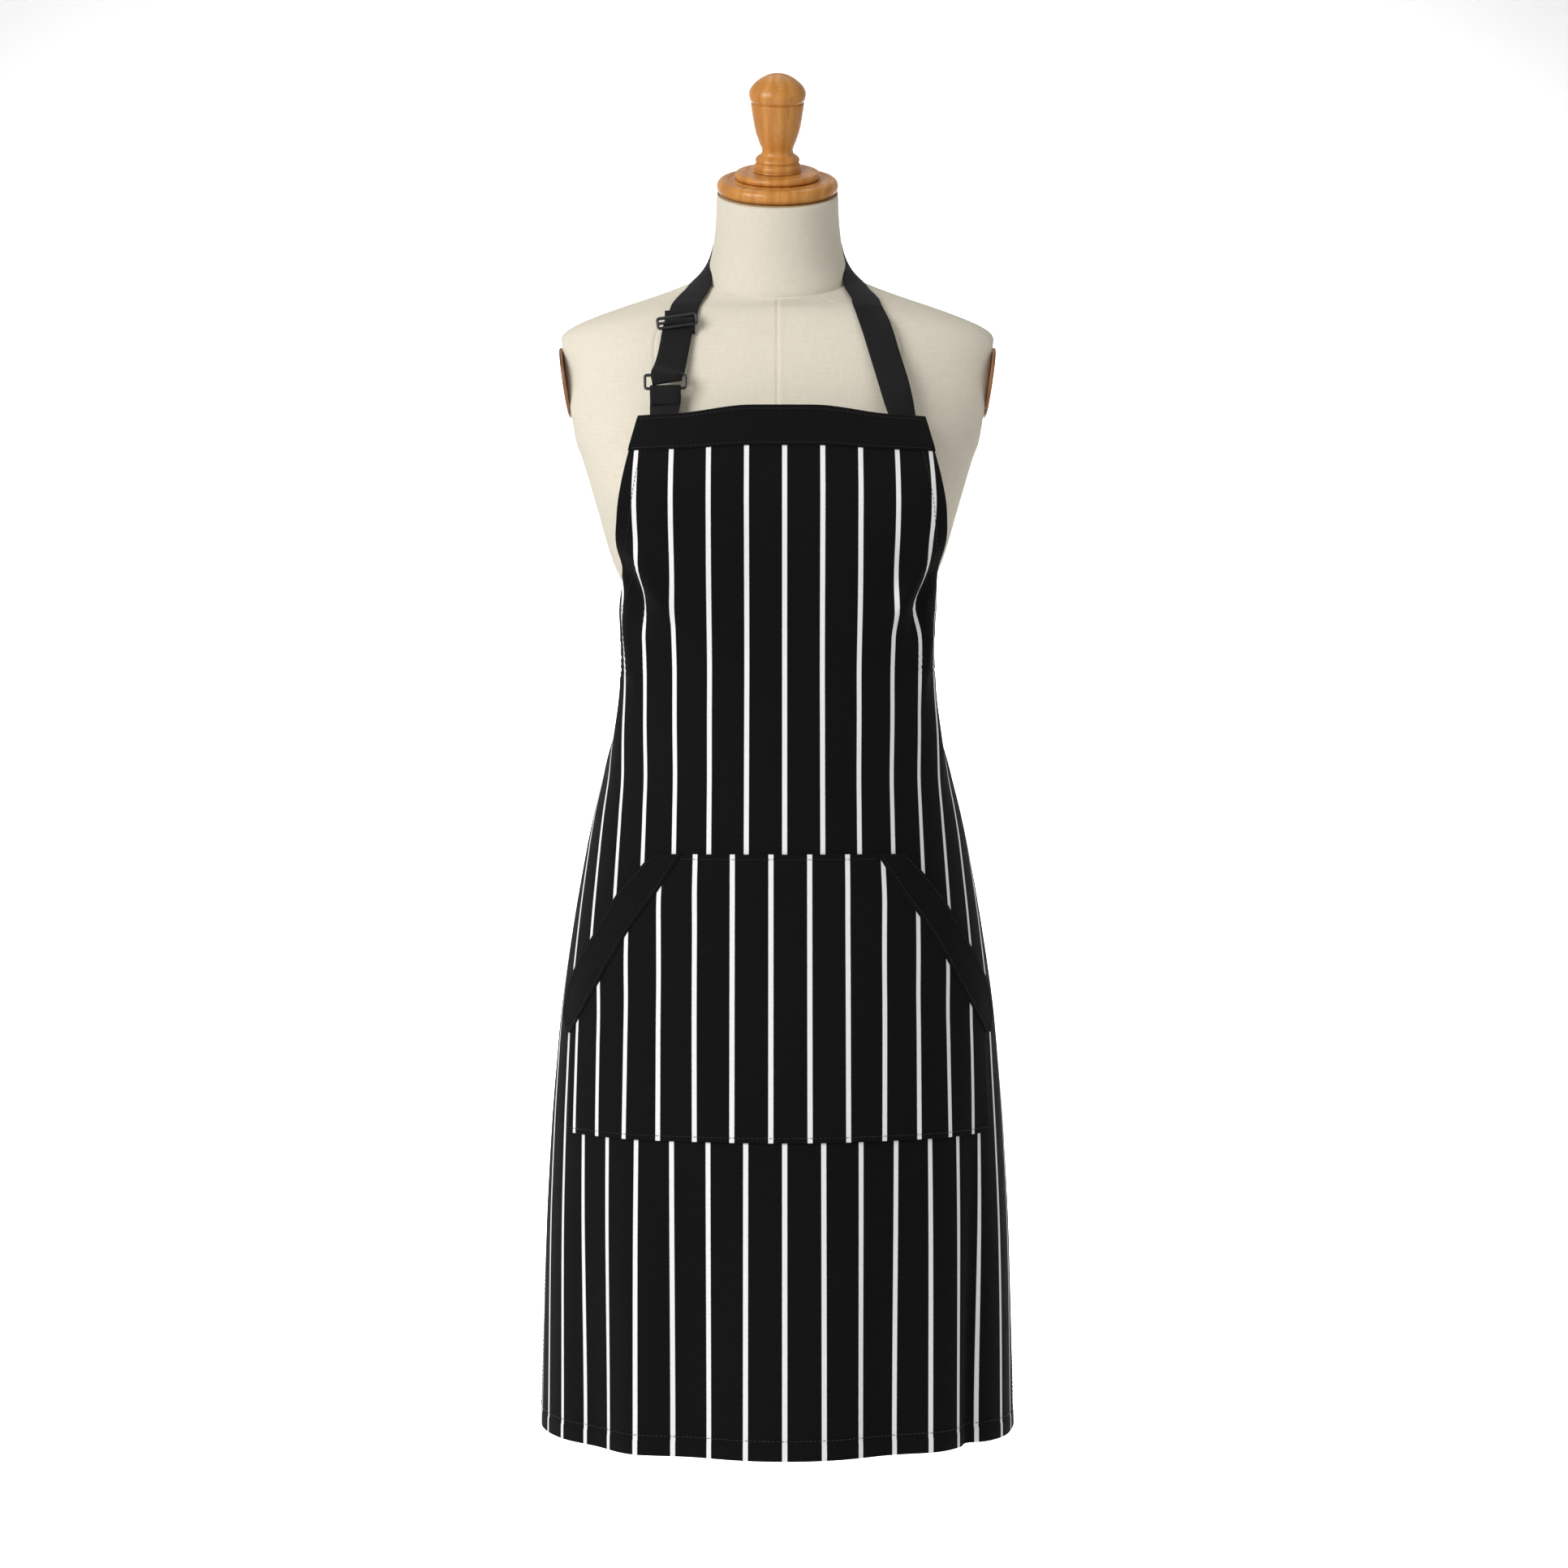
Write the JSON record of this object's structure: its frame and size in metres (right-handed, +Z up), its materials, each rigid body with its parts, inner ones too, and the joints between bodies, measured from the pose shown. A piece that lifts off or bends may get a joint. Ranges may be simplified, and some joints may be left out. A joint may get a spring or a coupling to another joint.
{
  "type": "apron on a dress form",
  "caption": "Pinstriped bib apron with a wide kangaroo pocket and webbing neck strap, worn on a linen-covered dress form with a turned wooden neck cap and finial.",
  "frame": {"origin": "middle of the pole socket's lower rim, on the form's centre line", "axes": "+Z up, the front of the apron faces -Y, +X is the right side as seen from the front"},
  "size_m": [0.3985, 0.3014, 1.1327],
  "materials": {
    "linen": "fine plain-weave natural linen, taut",
    "shell": "pressed fibre shell, matte",
    "plain_wood": "plain sanded plywood",
    "wood": "turned hardwood, honey stain, satin varnish",
    "steel": "zinc-plated steel",
    "pinstripe_cloth": "black twill with thin white pinstripes 31 mm apart",
    "black_cloth": "plain black twill",
    "webbing": "black woven webbing, 25 mm wide",
    "plastic": "black moulded buckle plastic"
  },
  "bodies": {
    "form": {"linen_cover": "linen", "torso_shell": "shell", "base_board": "plain_wood", "pole_socket": "steel", "spine_tube": "steel", "neck_cap_lower": "wood", "neck_cap_upper": "wood", "arm_plate_right": "wood", "arm_plate_left": "wood", "flange_screw_1": "steel", "flange_screw_2": "steel", "flange_screw_3": "steel", "flange_screw_4": "steel", "apron_body": "pinstripe_cloth", "bib_facing": "black_cloth", "pocket_panel": "pinstripe_cloth", "pocket_binding_right": "black_cloth", "pocket_binding_left": "black_cloth", "strap_tab": "webbing", "strap_ring": "plastic", "neck_strap": "webbing", "waist_tie_right": "webbing", "waist_tie_left": "webbing", "tie_knot": "webbing", "bow_loop_right": "webbing", "bow_loop_left": "webbing", "bow_tail_right": "webbing", "bow_tail_left": "webbing"},
    "finial": {"finial": "wood", "finial_stud": "steel"},
    "clamp_screw": {"clamp_screw": "steel"},
    "strap_slider": {"strap_slider": "plastic"}
  },
  "joints": [
    {"name": "finial_turn", "type": "hinge", "parent": "form", "child": "finial", "pos_m": [0, -0.02181, 0.76941], "axis": [0, -0.3907, 0.9205], "continuous": true},
    {"name": "clamp_turn", "type": "hinge", "parent": "form", "child": "clamp_screw", "pos_m": [0, 0.03, 0.012], "axis": [0, 1, 0], "continuous": true},
    {"name": "slider_travel", "type": "slide", "parent": "form", "child": "strap_slider", "axis": [-0.1532, -0.3986, -0.9042], "range_m": [0, 0.03]}
  ]
}
